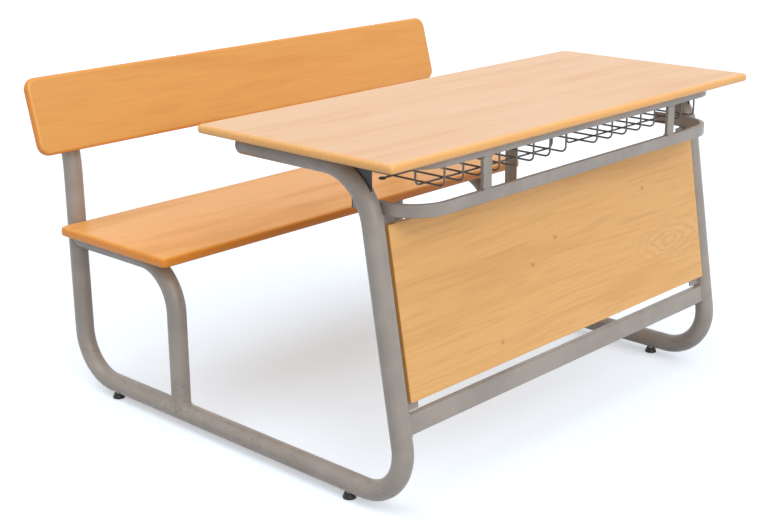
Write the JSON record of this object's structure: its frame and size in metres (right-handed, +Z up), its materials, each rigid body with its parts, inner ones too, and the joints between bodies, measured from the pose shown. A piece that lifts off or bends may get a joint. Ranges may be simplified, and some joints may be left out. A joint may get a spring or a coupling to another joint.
{
  "type": "school bench desk",
  "caption": "School bench desk for two pupils: a flat desktop with open wire book baskets, a front panel, a bench seat and a leaning backrest on bent-tube side frames.",
  "frame": {"origin": "on the floor, in the middle of the whole desk's bounding box", "axes": "+X along the desk to the right of the front panel as seen from the front, +Y from the front panel to the bench, +Z up"},
  "size_m": [1.29, 1.1075, 0.7433],
  "materials": {
    "desktop_wood": "lacquered beech laminate, pale, with darker rounded edges",
    "bench_wood": "lacquered beech plywood, warm orange, satin",
    "panel_wood": "lacquered beech veneer with broad figure, satin",
    "frame_paint": "satin warm grey powder coat",
    "basket_wire": "satin dark grey powder coat",
    "plug_plastic": "moulded, matt",
    "glide_plastic": "black, matt",
    "zinc_steel": "bright zinc plate"
  },
  "bodies": {
    "desk": {"backrest_board": "bench_wood", "backrest_screws": "zinc_steel", "basket_screws": "zinc_steel", "bend_gussets": "frame_paint", "centre_stay": "frame_paint", "desktop_board": "desktop_wood", "desktop_screws": "zinc_steel", "foot_rail": "frame_paint", "front_panel": "panel_wood", "left_backrest_bracket": "frame_paint", "left_basket_cross_wires": "basket_wire", "left_basket_hangers": "basket_wire", "left_basket_long_wires": "basket_wire", "left_front_desk_tab": "frame_paint", "left_front_glide_insert": "zinc_steel", "left_front_seat_tab": "frame_paint", "left_lower_panel_tab": "frame_paint", "left_lower_rail_plug": "plug_plastic", "left_post_plug": "plug_plastic", "left_rail_link": "frame_paint", "left_rear_desk_tab": "frame_paint", "left_rear_glide_insert": "zinc_steel", "left_rear_seat_tab": "frame_paint", "left_seat_support": "frame_paint", "left_side_frame": "frame_paint", "left_top_run_plug": "plug_plastic", "left_upper_panel_tab": "frame_paint", "lower_front_rail": "frame_paint", "panel_screws": "zinc_steel", "right_backrest_bracket": "frame_paint", "right_basket_cross_wires": "basket_wire", "right_basket_hangers": "basket_wire", "right_basket_long_wires": "basket_wire", "right_front_desk_tab": "frame_paint", "right_front_glide_insert": "zinc_steel", "right_front_seat_tab": "frame_paint", "right_lower_panel_tab": "frame_paint", "right_lower_rail_plug": "plug_plastic", "right_post_plug": "plug_plastic", "right_rail_link": "frame_paint", "right_rear_desk_tab": "frame_paint", "right_rear_glide_insert": "zinc_steel", "right_rear_seat_tab": "frame_paint", "right_seat_support": "frame_paint", "right_side_frame": "frame_paint", "right_top_run_plug": "plug_plastic", "right_upper_panel_tab": "frame_paint", "seat_board": "bench_wood", "seat_screws": "zinc_steel", "stay_panel_plate": "frame_paint", "stay_top_plate": "frame_paint", "upper_front_rail": "frame_paint"},
    "left_front_glide": {"left_front_glide_pad": "glide_plastic", "left_front_glide_stem": "zinc_steel"},
    "left_rear_glide": {"left_rear_glide_pad": "glide_plastic", "left_rear_glide_stem": "zinc_steel"},
    "right_front_glide": {"right_front_glide_pad": "glide_plastic", "right_front_glide_stem": "zinc_steel"},
    "right_rear_glide": {"right_rear_glide_pad": "glide_plastic", "right_rear_glide_stem": "zinc_steel"}
  },
  "joints": [
    {"name": "left_front_glide_height", "type": "slide", "parent": "desk", "child": "left_front_glide", "axis": [0, 0, -1], "range_m": [0, 0.008]},
    {"name": "left_rear_glide_height", "type": "slide", "parent": "desk", "child": "left_rear_glide", "axis": [0, 0, -1], "range_m": [0, 0.008]},
    {"name": "right_front_glide_height", "type": "slide", "parent": "desk", "child": "right_front_glide", "axis": [0, 0, -1], "range_m": [0, 0.008]},
    {"name": "right_rear_glide_height", "type": "slide", "parent": "desk", "child": "right_rear_glide", "axis": [0, 0, -1], "range_m": [0, 0.008]}
  ]
}
